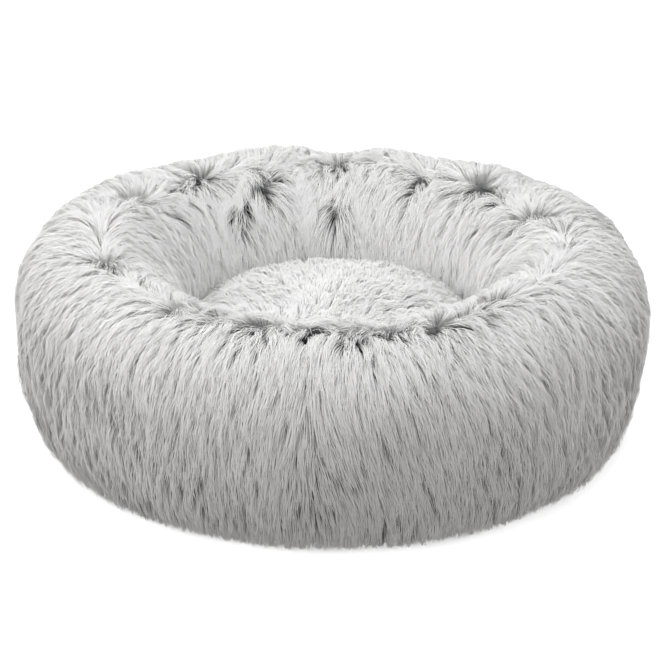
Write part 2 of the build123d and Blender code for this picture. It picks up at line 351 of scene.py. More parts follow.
FUR = FurFinish("frosted_fur", 0.75)
BACKING = ClothFinish("fur_backing", 0.95, (0.10, 0.105, 0.105), Weave.KNIT, 1.6 * MM)
BASE_CLOTH = ClothFinish("nonslip_cloth", 0.85, (0.060, 0.064, 0.068), Weave.PLAIN, 0.8 * MM)
LINING = ClothFinish("lining_cloth", 0.8, (0.40, 0.41, 0.41), Weave.PLAIN, 0.7 * MM)
BAG_CLOTH = ClothFinish("bag_cloth", 0.9, (0.13, 0.133, 0.135), Weave.FELT)
FIBRE = ClothFinish("fibre_filling", 0.95, (0.86, 0.86, 0.86), Weave.FELT, relief=0.6 * MM)
FOAM = ClothFinish("pad_foam", 0.95, (0.10, 0.102, 0.105), Weave.FELT, relief=0.4 * MM)
TAPE = ClothFinish("seam_tape", 0.85, (0.12, 0.125, 0.125), Weave.SATIN, 0.6 * MM)
ZIP_TAPE = ClothFinish("zip_tape", 0.8, (0.09, 0.095, 0.10), Weave.SATIN, 0.6 * MM)
LABEL = ClothFinish("label_cloth", 0.45, (0.80, 0.80, 0.77), Weave.SATIN, 0.35 * MM, 0.05 * MM)
TEETH = HardFinish("zip_teeth", 0.35, (0.13, 0.135, 0.14), coat=0.2, wear=0.1)
ZIP_METAL = HardFinish("zip_metal", 0.32, (0.30, 0.31, 0.32), metallic=0.6, coat=0.3, wear=0.5)
GRIP = HardFinish("grip_dots", 0.55, (0.020, 0.021, 0.022), wear=0.3)


# ------------------------------------------------------------------------------ helpers
def new_piece(name: str, mesh: Mesh) -> Piece:
    """Links a new object that holds the mesh, at the origin."""
    mesh.name = name
    piece = bpy.data.objects.new(name, mesh)
    bpy.context.scene.collection.objects.link(piece)
    return piece


def settle(
    piece: Piece, body: str, slot: str, *nodes: str, finish: Finish | None = None, fill: float = 0.0
) -> None:
    """Gives a finished piece its body, a material where a finish is given, and hides the CAD nodes that it
    stands for.

    Args:
        piece: The piece.
        body: Body that it rides on.
        slot: Name of its material slot; not used.
        nodes: CAD nodes that it stands for.
        finish: Finish to add first, where it has none yet.
        fill: How full a padded piece is, or zero for any other piece; not used.
    """
    if finish is not None:
        piece.data.materials.append(finish.material())
    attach(piece, body)
    if nodes:
        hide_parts(*nodes)
    LOG.info("%s: %d faces on %s", piece.name, len(piece.data.polygons), body)


def evenly(line: np.ndarray, count: int) -> np.ndarray:
    """Count points evenly spaced along a polyline."""
    run = np.concatenate([[0.0], np.cumsum(np.linalg.norm(np.diff(line, axis=0), axis=1))])
    wanted = np.linspace(0, run[-1], count)
    return np.stack([np.interp(wanted, run, line[:, k]) for k in range(line.shape[1])], 1)


def bezier(*points: tuple[float, float], count: int = 200) -> np.ndarray:
    """Points of a cubic curve, evenly spaced along it."""
    share = np.linspace(0, 1, 400)[:, None]
    a, b, c, d = (np.array(p, float) for p in points)
    rest = 1 - share
    return evenly(rest**3 * a + 3 * share * rest**2 * b + 3 * share**2 * rest * c + share**3 * d, count)


def ease(start: float, end: float, share: float) -> float:
    """Value part of the way from start to end."""
    return start + (end - start) * share


def bump(distance: np.ndarray, width: float) -> np.ndarray:
    """Bell curve of a distance."""
    return np.exp(-((distance / width) ** 2) / 2)


def turn_between(a: np.ndarray, b: float) -> np.ndarray:
    """Signed angle from b to a, in radians."""
    return (a - b + math.pi) % math.tau - math.pi


def soft_noise(places: np.ndarray, scale: float, seed: float) -> np.ndarray:
    """Smooth noise between about -1 and 1 at each place."""
    offset = Vector((seed, seed * 1.7, seed * 2.3))
    values = [noise.noise(Vector(place) * scale + offset) for place in places.reshape(-1, 3)]
    return np.array(values).reshape(places.shape[:-1])


def unit(vectors: np.ndarray) -> np.ndarray:
    """Vectors at length one."""
    return vectors / np.maximum(np.linalg.norm(vectors, axis=-1, keepdims=True), 1e-9)


def circle(azimuth: np.ndarray) -> np.ndarray:
    """Unit outward directions at the azimuths."""
    return np.stack([np.cos(azimuth), np.sin(azimuth), 0 * azimuth], -1)


def rings(profile: np.ndarray, azimuth: np.ndarray) -> np.ndarray:
    """Rings of points from a half section of radii and heights."""
    radius, height = profile[:, 0][:, None], profile[:, 1][:, None]
    level = np.repeat(height, len(azimuth), 1)
    return np.stack([radius * np.cos(azimuth), radius * np.sin(azimuth), level], -1)


def ring_quads(shape: tuple[int, ...], joined: bool = False) -> np.ndarray:
    """Corners of the faces between rings of points; joined also links the last ring to the first."""
    index = np.arange(shape[0] * shape[1]).reshape(shape[:2])
    ahead = np.roll(index, -1, 1)
    if joined:
        index, ahead = np.vstack([index, index[:1]]), np.vstack([ahead, ahead[:1]])
    return np.stack([index[:-1], ahead[:-1], ahead[1:], index[1:]], -1).reshape(-1, 4)


def plain_mesh(name: str, places: np.ndarray, faces: list[list[int]]) -> Mesh:
    """A mesh from vertex places and face corners."""
    mesh = bpy.data.meshes.new(name)
    mesh.from_pydata(places.reshape(-1, 3).tolist(), [], faces)
    mesh.update()
    return mesh


def revolved(name: str, places: np.ndarray, first: bool = False, last: bool = False) -> Piece:
    """A smooth piece from rings of points, with its faces outward.

    Args:
        name: Name of the piece.
        places: Rings by points by three, each ring in the same turning direction.
        first: Close the first ring with a face.
        last: Close the last ring with a face. With neither, the last ring joins the first.

    Returns:
        The piece.
    """
    faces = ring_quads(places.shape, not (first or last)).tolist()
    count = places.shape[1]
    total = places.shape[0] * count
    if first:
        faces.append(list(range(count))[::-1])
    if last:
        faces.append(list(range(total - count, total)))
    mesh = plain_mesh(name, places, faces)
    bm = bmesh.new()
    bm.from_mesh(mesh)
    bmesh.ops.recalc_face_normals(bm, faces=bm.faces[:])
    bm.to_mesh(mesh)
    bm.free()
    mesh.shade_smooth()
    return new_piece(name, mesh)


def block(size: tuple[float, float, float], bevel: float, taper: float = 1.0) -> Mesh:
    """A box about the origin, with bevelled edges and a narrower underside."""
    mesh = bpy.data.meshes.new("block")
    bm = bmesh.new()
    bmesh.ops.create_cube(bm, size=1.0)
    for vertex in bm.verts:
        narrow = taper if vertex.co.z < 0 else 1.0
        x, y, z = vertex.co
        vertex.co = Vector((x * size[0] * narrow, y * size[1] * narrow, z * size[2]))
    bmesh.ops.bevel(bm, geom=bm.edges[:], offset=bevel, segments=1, affect="EDGES")
    bm.to_mesh(mesh)
    bm.free()
    return mesh


def vertex_places(mesh: Mesh) -> np.ndarray:
    """The places of a mesh's vertices."""
    places = np.empty(len(mesh.vertices) * 3)
    mesh.vertices.foreach_get("co", places)
    return places.reshape(-1, 3)


def swell(piece: Piece, pinned: np.ndarray, cap: float, frames: int = 20) -> np.ndarray:
    """Swells a shell as cloth under the pressure of its stuffing.

    Args:
        piece: The shell; its mesh is moved.
        pinned: How firmly each vertex is held, from 0 to 1, as rings by points.
        cap: Furthest that a vertex may move, in metres.
        frames: Length of the simulation.

    Returns:
        The new places of the vertices, as rings by points by three.
    """
    mesh = piece.data
    start = vertex_places(mesh)
    group = piece.vertex_groups.new(name="held")
    levels = np.round(pinned.ravel(), 2)
    for level in np.unique(levels[levels > 0]):
        group.add(np.flatnonzero(levels == level).tolist(), float(level), "REPLACE")
    cloth = piece.modifiers.new("swell", "CLOTH")
    settings = {
        "quality": 4, "mass": 0.3, "tension_stiffness": 12, "compression_stiffness": 12,
        "bending_stiffness": 1.5, "use_pressure": True, "uniform_pressure_force": PRESSURE,
        "vertex_group_mass": "held",
    }
    for name, value in settings.items():
        setattr(cloth.settings, name, value)
    cloth.settings.effector_weights.gravity = 0
    cloth.collision_settings.use_self_collision = False
    cloth.point_cache.frame_start = 1
    cloth.point_cache.frame_end = frames
    scene = bpy.context.scene
    for step in range(1, frames + 1):
        scene.frame_set(step)
    shift = vertex_places(piece.evaluated_get(bpy.context.evaluated_depsgraph_get()).data) - start
    piece.modifiers.remove(cloth)
    scene.frame_set(1)
    length = np.linalg.norm(shift, axis=1, keepdims=True)
    moved = start + shift * np.minimum(1.0, cap / np.maximum(length, 1e-9))
    mesh.vertices.foreach_set("co", moved.ravel())
    mesh.update()
    LOG.info("%s swelled by %.1f mm at most", piece.name, float(length.max()) / MM)
    return moved.reshape(*pinned.shape, 3)


# ------------------------------------------------------------------------------ node trees
def start_tree(
    name: str, objects: list[str], numbers: list[str], seeded: bool = False
) -> tuple[Tree, Graph, dict]:
    """Starts a Geometry Nodes tree with a geometry, objects, numbers and a material to be given.

    Args:
        name: Name of the tree.
        objects: Names of its object inputs.
        numbers: Names of its number inputs.
        seeded: Whether it also takes a seed.

    Returns:
        The tree, its graph and its inputs by name.
    """
    tree = bpy.data.node_groups.new(name, "GeometryNodeTree")
    wanted = [("Geometry", "Geometry")] + [(title, "Object") for title in objects]
    wanted += [(title, "Float") for title in numbers]
    wanted += [("Seed", "Int")] * seeded + [("Material", "Material")]
    for title, kind in wanted:
        tree.interface.new_socket(title, in_out="INPUT", socket_type="NodeSocket" + kind)
    tree.interface.new_socket("Geometry", in_out="OUTPUT", socket_type="NodeSocketGeometry")
    graph = Graph(tree)
    given = graph.node("NodeGroupInput").outputs
    inputs = {title: Wire(graph, given[title]) if kind == "Float" else given[title] for title, kind in wanted}
    return tree, graph, inputs


def end_tree(graph: Graph, geometry: Socket, material: Socket) -> None:
    """Gives the tree's geometry its material and sends it out."""
    done = graph.node("GeometryNodeSetMaterial", inputs={"Geometry": geometry, "Material": material})
    graph.node("NodeGroupOutput", inputs={0: done.outputs[0]})


def placed(graph: Graph, points: Socket, shape: Socket, rotation: object = (0.0, 0.0, 0.0)) -> Socket:
    """Sets real copies of a shape on points."""
    inputs = {"Points": points, "Instance": shape, "Rotation": rotation}
    copies = graph.node("GeometryNodeInstanceOnPoints", inputs=inputs).outputs[0]
    return graph.node("GeometryNodeRealizeInstances", inputs={"Geometry": copies}).outputs[0]


def held_shape(graph: Graph, given: Socket) -> Socket:
    """Geometry of an object that the tree is given."""
    return graph.node("GeometryNodeObjectInfo", inputs={"Object": given}).outputs["Geometry"]


def pile_tree() -> Tree:
    """Builds the Geometry Nodes tree that grows blades on a patch."""
    numbers = ["Density", "Lock Spacing", "Width", "Floor"]
    tree, graph, given = start_tree("pile", ["Ground"], numbers, seeded=True)
    ground = held_shape(graph, given["Ground"])

    def stored(name: str, kind: str = "FLOAT") -> Wire | Arrow:
        """Reads an attribute by name."""
        made = graph.node("GeometryNodeInputNamedAttribute", {"data_type": kind}, {"Name": name})
        return (Wire if kind == "FLOAT" else Arrow)(graph, made.outputs[0])

    def vector(name: str) -> Arrow:
        """Reads a vector attribute by name."""
        return stored(name, "FLOAT_VECTOR")

    def keep(geometry: Socket, values: dict, kind: str = "FLOAT", domain: str = "POINT") -> Socket:
        """Writes attributes by name."""
        for name, value in values.items():
            made = graph.node("GeometryNodeStoreNamedAttribute", {"data_type": kind, "domain": domain})
            for key, entry in (("Geometry", geometry), ("Name", name), ("Value", value)):
                graph.fill(made.inputs[key], entry)
            geometry = made.outputs[0]
        return geometry

    def chance(low: float, high: float, turn: int) -> Wire:
        """A random number for each point."""
        seed = graph.maths("ADD", given["Seed"], float(turn))
        inputs = {2: low, 3: high, "Seed": seed}
        return Wire(graph, graph.node("FunctionNodeRandomValue", {"data_type": "FLOAT"}, inputs).outputs[1])

    def swung(angle: Wire) -> Arrow:
        """The combed direction turned about the ground's normal."""
        inputs = {"Vector": vector("flow"), "Axis": vector("up"), "Angle": angle}
        return Arrow(graph, graph.node("ShaderNodeVectorRotate", inputs=inputs).outputs[0])

    def on_ground(value: Arrow | Socket, place: Arrow) -> Arrow:
        """Reads a vector of the ground at its nearest place."""
        inputs = {"Mesh": ground, "Value": value, "Sample Position": place}
        made = graph.node("GeometryNodeSampleNearestSurface", {"data_type": "FLOAT_VECTOR"}, inputs)
        return Arrow(graph, made.outputs["Value"])

    here = graph.node("GeometryNodeInputPosition").outputs[0]
    spacing = given["Lock Spacing"]
    inputs = {"Mesh": ground, "Distance Min": spacing, "Density Max": 1.4 / spacing / spacing}
    scatter = graph.node("GeometryNodeDistributePointsOnFaces", {"distribute_method": "POISSON"}, inputs)
    astray = swung(chance(-1, 1, 1) * stored("stray"))
    locks = keep(scatter.outputs["Points"], {"lock_flow": astray}, "FLOAT_VECTOR")
    locks = keep(locks, {"lock_luck": chance(0, 1, 2), "lock_size": chance(0, 1, 3)})

    inputs = {"Mesh": given["Geometry"], "Density": given["Density"] * stored("cover"), "Seed": given["Seed"]}
    sprout = graph.node("GeometryNodeDistributePointsOnFaces", {"distribute_method": "RANDOM"}, inputs)
    nearest = graph.node("GeometryNodeSampleNearest", {"domain": "POINT"}, {"Geometry": locks}).outputs[0]

    def of_lock(value: Wire | Arrow | Socket, kind: str = "FLOAT") -> Wire:
        """Reads a value of the nearest lock."""
        inputs = {"Geometry": locks, "Value": value, "Index": nearest}
        made = graph.node("GeometryNodeSampleIndex", {"data_type": kind, "domain": "POINT"}, inputs)
        return Wire(graph, made.outputs[0])

    luck = of_lock(stored("lock_luck"))
    size = of_lock(stored("lock_size"))
    own = swung(chance(-0.35, 0.35, 4))
    shared = of_lock(vector("lock_flow"), "FLOAT_VECTOR")
    comb = Arrow(graph, graph.blend(0.72, own, shared, "VECTOR")).unit()
    directions = {"root_at": here, "lock_at": of_lock(here, "FLOAT_VECTOR"), "comb": comb}
    points = keep(sprout.outputs["Points"], directions, "FLOAT_VECTOR")
    close = stored("gather")
    own_rise = chance(-0.5, 0.5, 5) * (0.14 + 0.36 * close)
    lock_rise = (luck - 0.5) * (0.06 + 0.36 * close)
    traits = {
        "rise": stored("stand") * (0.80 + own_rise + lock_rise),
        "span": stored("reach") * (0.62 + 0.28 * chance(0, 1, 6) + 0.25 * size),
        "roll": chance(-0.45, 0.45, 7),
        "wave": chance(-1, 1, 8),
        "tone": chance(0, 0.96, 9),
        "pale": graph.maths("MAXIMUM", stored("frost"), luck * 0.42 - 0.17),
        "close": close,
        "slim": stored("thin"),
        # painted shade: the lowest locks where the pile gathers keep greyer tips, standing for the shadowed
        # gaps between locks
        "dull": graph.maths("MULTIPLY", 0.17 - luck, close * 12.0, clamp=True),
    }
    points = keep(points, traits)

    inputs = {"Size X": 1.0, "Size Y": 1.0, "Vertices X": 2, "Vertices Y": BLADE_ROWS}
    strip = graph.node("GeometryNodeMeshGrid", inputs=inputs)
    sideways, forward, _ = graph.split(here)
    blade = keep(strip.outputs["Mesh"], {"side": sideways * 2.0, "along": (forward + 0.5) ** 1.25})
    narrowed = graph.join(sideways * (0.5 - forward), forward)
    blade = graph.node("GeometryNodeSetPosition", inputs={"Geometry": blade, "Position": narrowed}).outputs[0]
    blade = graph.node("GeometryNodeMergeByDistance", inputs={"Geometry": blade, "Distance": 1e-5}).outputs[0]
    grown = placed(graph, points, blade)

    along, across = stored("along"), stored("side")
    comb, reach = vector("comb"), stored("span") * along
    pull = stored("close") * along**1.15
    foot = Arrow(graph, graph.blend(pull, vector("root_at"), vector("lock_at"), "VECTOR"))
    line = foot + comb * reach
    lies = on_ground(here, line)
    up = on_ground(vector("up"), line).unit()
    drop = foot + graph.arrow("SCALE", (0.0, 0.0, -1.0), scale=reach)
    base = Arrow(graph, graph.blend(stored("hang") * along, lies, drop, "VECTOR"))
    height = stored("rise") * (1.0 - (1.0 - along) ** 2.4) * (1.0 - 0.25 * along * along)
    side = comb.cross(up).unit()
    roll, wave = stored("roll"), stored("wave")
    facing = side * graph.maths("COSINE", roll) + up * graph.maths("SINE", roll)
    bend = graph.maths("SINE", along * 4.2 + wave * 3.0) * along * wave * (1.6 * MM)
    point = 0.55 + 0.45 * graph.maths("SQRT", along + 0.02)
    half = given["Width"] * stored("slim") * 0.5 * (1.0 - along**2.2) * point
    x, y, z = graph.split((base + up * height + side * bend + facing * (across * half)).socket)
    level = graph.maths("MAXIMUM", z, given["Floor"] + 0.8 * MM * wave * wave)
    inputs = {"Geometry": grown, "Position": graph.join(x, y, level)}
    grown = graph.node("GeometryNodeSetPosition", inputs=inputs).outputs[0]
    lit = on_ground(vector("shine"), line) + facing * (across * 0.11) + comb * 0.06
    soft = graph.node("GeometryNodeSetMeshNormal", {"mode": "FREE", "domain": "POINT"})
    graph.fill(soft.inputs["Mesh"], grown)
    graph.fill(soft.inputs["Custom Normal"], lit.unit())
    column = stored("tone") + (across + 1.0) * 0.018
    # painted shade: on the lowest locks the blade's colour stays nearer the dark root
    dull = 1.0 - 0.62 * stored("dull")
    shade = Wire(graph, graph.blend(along * dull, stored("pale"), 1.0)) * 0.98 + 0.01
    grown = keep(soft.outputs[0], {"OFBake": graph.join(column, shade)}, "FLOAT2", "CORNER")
    grown = graph.node("GeometryNodeSetShadeSmooth", inputs={"Geometry": grown}).outputs[0]
    end_tree(graph, grown, given["Material"])
    return tree


def row_tree() -> Tree:
    """Builds the tree that sets a shape along an arc, turned with it."""
    tree, graph, given = start_tree("arc_row", ["Shape"], ["Radius", "Start", "Sweep", "Pitch", "Level"])
    inputs = {
        "Resolution": 720, "Radius": given["Radius"], "Start Angle": given["Start"],
        "Sweep Angle": given["Sweep"],
    }
    arc = graph.node("GeometryNodeCurveArc", inputs=inputs).outputs[0]
    inputs = {"Curve": arc, "Length": given["Pitch"]}
    points = graph.node("GeometryNodeCurveToPoints", {"mode": "LENGTH"}, inputs)
    inputs = {"Vector": points.outputs["Tangent"]}
    turn = graph.node("FunctionNodeAlignRotationToVector", {"axis": "X"}, inputs)
    solid = placed(graph, points.outputs["Points"], held_shape(graph, given["Shape"]), turn.outputs[0])
    inputs = {"Geometry": solid, "Translation": graph.join(0.0, 0.0, given["Level"])}
    end_tree(graph, graph.node("GeometryNodeTransform", inputs=inputs).outputs[0], given["Material"])
    return tree


def dot_tree() -> Tree:
    """Builds the tree that sets a shape on a staggered lattice inside a disc with a cut-out sector."""
    tree, graph, given = start_tree("dots", ["Shape"], ["Radius", "Back Radius", "Pitch"])
    radius, pitch = given["Radius"], given["Pitch"]
    count = graph.maths("FLOOR", radius * 2.0 / pitch) + 1.0
    size = (count - 1.0) * pitch
    inputs = {"Size X": size, "Size Y": size, "Vertices X": count, "Vertices Y": count}
    lattice = graph.node("GeometryNodeMeshGrid", inputs=inputs)
    here = graph.node("GeometryNodeInputPosition").outputs[0]
    behind = graph.split(here)[1]
    odd = graph.maths("MODULO", graph.maths("ROUND", behind / pitch + 500.0), 2.0)
    inputs = {"Geometry": lattice.outputs[0], "Offset": graph.join((odd - 0.5) * pitch * 0.5)}
    spread = graph.node("GeometryNodeSetPosition", inputs=inputs).outputs[0]
    far = graph.node("ShaderNodeVectorMath", {"operation": "LENGTH"}, {0: here}).outputs["Value"]
    limit = graph.blend(graph.maths("GREATER_THAN", behind, 0.0), radius, given["Back Radius"])
    inputs = {"Geometry": spread, "Selection": graph.maths("GREATER_THAN", far, limit)}
    kept = graph.node("GeometryNodeDeleteGeometry", {"domain": "POINT"}, inputs).outputs[0]
    end_tree(graph, placed(graph, kept, held_shape(graph, given["Shape"])), given["Material"])
    return tree


def grown(name: str, base: Piece, tree: Tree, values: dict[str, object]) -> Piece:
    """Runs a node tree on an object and keeps the result as a plain mesh.

    Args:
        name: Name of the new piece.
        base: The object that the tree starts from; it is removed.
        tree: The node tree.
        values: The tree's inputs by name.

    Returns:
        The new piece.
    """
    modifier = base.modifiers.new(tree.name, "NODES")
    modifier.node_group = tree
    for item in tree.interface.items_tree:
        if item.in_out == "INPUT" and item.name in values:
            modifier[item.identifier] = values[item.name]
    graph = bpy.context.evaluated_depsgraph_get()
    mesh = bpy.data.meshes.new_from_object(base.evaluated_get(graph), depsgraph=graph)
    if not mesh.materials:
        mesh.materials.append(values["Material"])
    bpy.data.objects.remove(base)
    return new_piece(name, mesh)


def pattern(name: str, mesh: Mesh, tree: Tree, **values: object) -> Piece:
    """Repeats a small shape by a node tree; the inputs' names have underscores for spaces."""
    shape = new_piece(name + "_shape", mesh)
    base = new_piece(name + "_base", bpy.data.meshes.new(name + "_base"))
    named = {key.replace("_", " "): value for key, value in values.items()}
    piece = grown(name, base, tree, {"Shape": shape, **named})
    bpy.data.objects.remove(shape)
    return piece


# ------------------------------------------------------------------------------ growing the pile
@dataclass
class Coat:
    """A closed grid of ground that pile grows on, row by row from where the pile starts.

    Attributes:
        places: Vertex places, rows by columns by three; the last column joins the first.
        up: Outward directions.
        along: Directions down the columns.
        round: Directions along the rows.
    """

    places: np.ndarray
    up: np.ndarray = field(init=False)
    along: np.ndarray = field(init=False)
    round: np.ndarray = field(init=False)

    def __post_init__(self) -> None:
        """Works out the directions of the grid."""
        rows = np.gradient(self.places, axis=0)
        columns = np.roll(self.places, -1, 1) - np.roll(self.places, 1, 1)
        self.along = unit(rows)
        self.up = unit(np.cross(columns, rows))
        self.round = unit(np.cross(self.along, self.up))

    def flat(self, wanted: np.ndarray) -> np.ndarray:
        """Unit directions that lie in the ground."""
        return unit(wanted - self.up * (wanted * self.up).sum(-1, keepdims=True))

    def mesh(self, rows: slice, columns: np.ndarray, values: dict[str, np.ndarray | float]) -> Mesh:
        """A patch of the grid as a mesh with the pile's directions and sizes on its vertices.

        Args:
            rows: The rows of the patch.
            columns: The columns of the patch, in order.
            values: Numbers, or grids of numbers or vectors, to store by name.

        Returns:
            The new mesh.
        """
        places = self.places[rows][:, columns]
        index = np.arange(places.shape[0] * places.shape[1]).reshape(places.shape[:2])
        corners = np.stack([index[:-1, :-1], index[:-1, 1:], index[1:, 1:], index[1:, :-1]], -1)
        mesh = plain_mesh("patch", places, corners.reshape(-1, 4).tolist())
        for name, grid in {"up": self.up, **values}.items():
            vectors = np.ndim(grid) == 3
            whole = grid if vectors else np.broadcast_to(grid, self.places.shape[:2])
            part = whole[rows][:, columns].ravel()
            made = mesh.attributes.new(name, "FLOAT_VECTOR" if vectors else "FLOAT", "POINT")
            made.data.foreach_set("vector" if vectors else "value", part)
        return mesh

    def ground(self, name: str, values: dict[str, np.ndarray | float]) -> Piece:
        """The whole grid as an object."""
        return new_piece(name, self.mesh(slice(None), np.append(np.arange(self.places.shape[1]), 0), values))


@dataclass(frozen=True)
class Pile:
    """One coat of fur, grown patch by patch.

    Attributes:
        tree: The node tree that grows the blades.
        material: Finish of the blades.
        ground: Object that the blades lie on.
        density: Blades on a square metre.
        lock_spacing: Distance between the middles of neighbouring locks.
        width: Widest part of a blade.
        floor: Lowest that a blade may reach.
    """

    tree: Tree
    material: Material
    ground: Piece
    density: float
    lock_spacing: float
    width: float
    floor: float = 0.6 * MM

    def grow(self, name: str, patch: Mesh, seed: int) -> Piece:
        """Grows the blades of one patch into a plain mesh."""
        values = {
            "Ground": self.ground, "Density": self.density, "Lock Spacing": self.lock_spacing,
            "Width": self.width, "Floor": self.floor, "Seed": seed, "Material": self.material,
        }
        piece = grown(name, new_piece(name + "_patch", patch), self.tree, values)
        kept = piece.data.attributes
        for title in [a.name for a in kept if a.domain == "POINT" and not a.is_required]:
            if title != "custom_normal":
                kept.remove(kept[title])
        return piece


# ------------------------------------------------------------------------------ rim
@dataclass
class Rim:
    """The stuffed ring: its shell, its two coats of fur and what is inside.

    Attributes:
        belly: Height of the widest ring of the shell.
        wall: Top of the straight part of the well's wall.
        crest_dip: How far the crest seam is pulled in under the stuffing's top.
        shell_slack: Room that the shell leaves to swell into.
        partings: Where the pile fans out: azimuth in degrees, distance into the well in millimetres, size.
    """

    belly: float = 105 * MM
    wall: float = 95 * MM
    columns: int = 288
    outer_rows: int = 38
    inner_rows: int = 30
    crest_dip: float = 4 * MM
    shell_slack: float = 3 * MM
    partings: tuple[tuple[float, float, float], ...] = (
        (196, -4, 0.5), (231, 0, 0.6), (243, 4, 1.0), (254, -5, 0.9), (264, 7, 1.2), (275, -6, 1.1),
        (284, -3, 1.4), (294, -7, 1.5), (303, 2, 0.7), (313, 6, 0.7), (154, 0, 0.5), (128, -4, 0.65),
        (113, 24, 0.8), (122, 48, 0.6), (88, -4, 0.8), (87, 50, 0.55), (62, 12, 0.4), (45, 4, 0.6),
        (18, 12, 0.5), (336, 4, 0.3),
    )

    def __post_init__(self) -> None:
        """Takes the ring's sizes from the frame."""
        low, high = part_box("rim_liner")
        self.outer = high[0] - self.shell_slack
        self.top = high[2] - self.crest_dip
        self.bottom = low[2]
        self.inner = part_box("floor_lining")[1][0]
        self.crest = (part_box("crest_seam_tape")[1][0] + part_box("rim_inner_fur_left")[1][1]) / 2
        self.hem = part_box("base_panel")[1][0]
        self.azimuth = np.linspace(0, math.tau, self.columns, endpoint=False)
        self.crest_row = self.outer_rows - 1

    def profile(self) -> np.ndarray:
        """Half section of the shell from the hem up and out to the crest, then into the well."""
        outer, inner, top, bottom = self.outer, self.inner, self.top, self.bottom
        shoulder = bezier(
            (self.crest, top), (ease(self.crest, outer, 0.60), top + 1.5 * self.crest_dip),
            (outer, ease(self.belly, top, 0.66)), (outer, self.belly),
        )
        under = bezier(
            (outer, self.belly), (outer, ease(self.belly, bottom, 0.66)),
            (ease(self.hem, outer, 0.82), bottom), (self.hem, bottom - 3 * MM),
        )
        lip = bezier(
            (self.crest, top), (ease(self.crest, inner, 0.50), top + self.crest_dip),
            (inner, ease(self.wall, top, 0.52)), (inner, self.wall),
        )
        drop = np.linspace((inner, self.wall), (inner, bottom + 2 * MM), 60)
        outside = evenly(np.vstack([shoulder, under[1:]]), self.outer_rows)
        inside = evenly(np.vstack([lip, drop[1:]]), self.inner_rows)
        return np.vstack([outside[::-1], inside[1:]])

    def shell(self) -> None:
        """Makes the shell, pinches its seams and swells it."""
        section, azimuth = self.profile(), self.azimuth
        radius, height = section[:, 0][:, None], section[:, 1][:, None]
        places = rings(section, azimuth)
        outwards = circle(azimuth)[None]
        lumps = soft_noise(places, 13.0, 3.1) * 5 * MM + soft_noise(places, 28.0, 7.7) * 2 * MM
        share = np.sin(np.clip((height - self.bottom) / (self.top - self.bottom), 0, 1) * math.pi) ** 0.6
        facing = np.where(np.arange(len(section))[:, None] < self.outer_rows, 1.0, -0.5)
        places = places + outwards * (lumps * share * facing)[..., None]
        places[..., 2] += lumps * bump(radius - self.crest, 45 * MM)
        full = bump(turn_between(azimuth, 2.75), 0.5) + 0.45 * bump(turn_between(azimuth, 0.35), 0.45)
        above = np.clip((height - self.belly) / (40 * MM), 0, 1)
        full = full[None] * bump(radius - 252 * MM, 32 * MM) * above
        places += outwards * (full * 7 * MM)[..., None]
        places[..., 2] += full * 8 * MM
        mesh = plain_mesh("rim_backing", places, ring_quads(places.shape).tolist())
        self.piece = new_piece("rim_backing", mesh)
        held = np.zeros(places.shape[:2])
        held[[0, 1, -1, -2, self.crest_row]] = 1.0
        held[[self.crest_row - 1, self.crest_row + 1]] = 0.5
        for edge in (BACK_SEAM, BACK_SEAM + math.pi):
            held = np.maximum(held, 0.9 * bump(turn_between(azimuth, edge), 0.012)[None])
        self.places = swell(self.piece, held, 8 * MM)

    def combed(self, run: np.ndarray, wander: np.ndarray, turn: np.ndarray) -> tuple[np.ndarray, ...]:
        """Direction of the pile, which parts at the crest and fans out at the partings.

        Args:
            run: Distance over the shell from the crest, into the well.
            wander: How far the parting strays from the seam.
            turn: How far the pile leans aside, in radians.

        Returns:
            The directions, how far the pile fans out, and the hearts of the partings.
        """
        coat = self.coat
        flow = coat.along * np.tanh((run - wander) / (8 * MM))[..., None]
        flow = flow * np.cos(turn)[..., None] + coat.round * np.sin(turn)[..., None]
        fan = np.zeros(self.places.shape[:2])
        heart = np.zeros(self.places.shape[:2])
        for degrees, offset, size in self.partings:
            column = round(degrees / 360 * self.columns) % self.columns
            row = int(np.abs(run[:, 0] - offset * MM).argmin())
            apart = self.places - self.places[row, column]
            far = np.linalg.norm(apart * np.array([1.0, 1.0, 0.8]), axis=2)
            fan = np.maximum(fan, bump(far, (14 + 12 * size) * MM) * min(1.0, 0.5 + 0.5 * size))
            heart = np.maximum(heart, bump(far, (6 + 5 * size) * MM))
            flow = flow + unit(apart) * (1.3 * bump(far, 20 * MM * size**0.5))[..., None]
        return coat.flat(flow), fan, heart

    def fields(self) -> dict[str, np.ndarray]:
        """Combed direction and sizes of the pile over the shell."""
        coat, level = self.coat, self.places[..., 2]
        steps = np.linalg.norm(np.diff(self.places, axis=0), axis=2).mean(1)
        run = np.concatenate([[0.0], np.cumsum(steps)])
        run = (run - run[self.crest_row])[:, None]
        wander = soft_noise(circle(self.azimuth), 2.6, 5.5)[None] * 16 * MM
        distance = np.abs(run - wander)
        outside = (run <= 0).astype(float)
        inside = 1 - outside
        from_front = turn_between(self.azimuth, BACK_SEAM + math.pi)[None]
        from_back = turn_between(self.azimuth, BACK_SEAM)[None]
        crest = bump(distance, 20 * MM)
        shoulder = bump(run, 55 * MM)

        near_seam = bump(from_front, 0.10)
        lean = outside * (0.06 + 0.13 * np.tanh(from_front * 6) + 0.20 * near_seam * np.tanh(from_front * 30))
        swirl = soft_noise(self.places, 15.0, 21.3) * 0.8 + soft_noise(self.places, 42.0, 4.9) * 0.4
        turn = lean + swirl * (0.16 + 0.34 * shoulder + 0.16 * inside)
        flow, fan, heart = self.combed(run, wander, turn)
        patchy = np.clip(0.75 + 1.1 * soft_noise(self.places, 60.0, 71.0), 0, 1)
        fan = fan * (0.55 + 0.45 * patchy)

